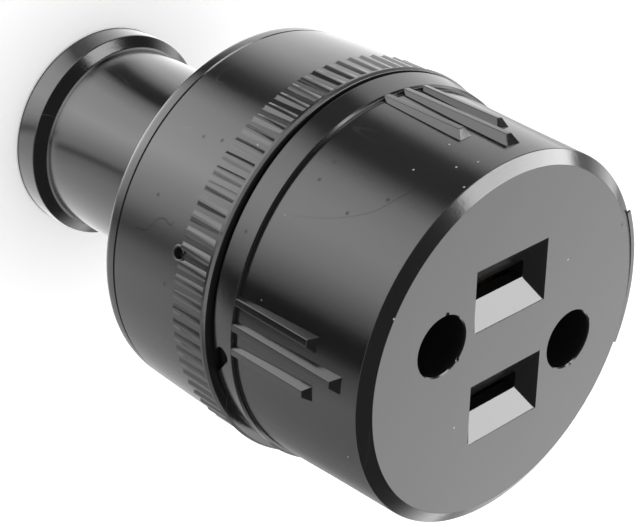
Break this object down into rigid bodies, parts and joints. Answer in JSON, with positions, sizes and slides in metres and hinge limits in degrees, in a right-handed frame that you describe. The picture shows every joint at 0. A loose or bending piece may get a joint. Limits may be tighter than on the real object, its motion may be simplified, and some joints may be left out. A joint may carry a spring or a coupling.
{
  "type": "inline socket connector",
  "caption": "Round inline mains socket with flat blade slots in its face, a ribbed barrel, a knurled twist-on rear cap and a cable neck.",
  "frame": {"origin": "centre of the collar's end, where the cable enters, on the surface that the part stands on", "axes": "+Z along the axis towards the front face, +X along the length of the slots, +Y from one slot to the other"},
  "size_m": [0.0424, 0.0424, 0.064],
  "materials": {
    "front_moulding": "glossy black moulding with fine wear",
    "cap_moulding": "glossy black moulding with fine wear",
    "retainer": "dull brown insulating plate",
    "contact_brass": "rolled sheet",
    "screw_steel": "plated",
    "clamp_steel": "plated"
  },
  "bodies": {
    "body": {"front_body": "front_moulding", "contact_retainer": "retainer", "line_contact": "contact_brass", "neutral_contact": "contact_brass", "line_screw": "screw_steel", "neutral_screw": "screw_steel", "line_clamp_plate": "clamp_steel", "neutral_clamp_plate": "clamp_steel", "line_retainer_screw": "screw_steel", "neutral_retainer_screw": "screw_steel"},
    "cap": {"rear_cap": "cap_moulding"}
  },
  "joints": [
    {"name": "cap_twist", "type": "hinge", "parent": "body", "child": "cap", "pos_m": [0, 0, 0.035], "axis": [0, 0, 1], "range_deg": [0, 24.2]}
  ]
}
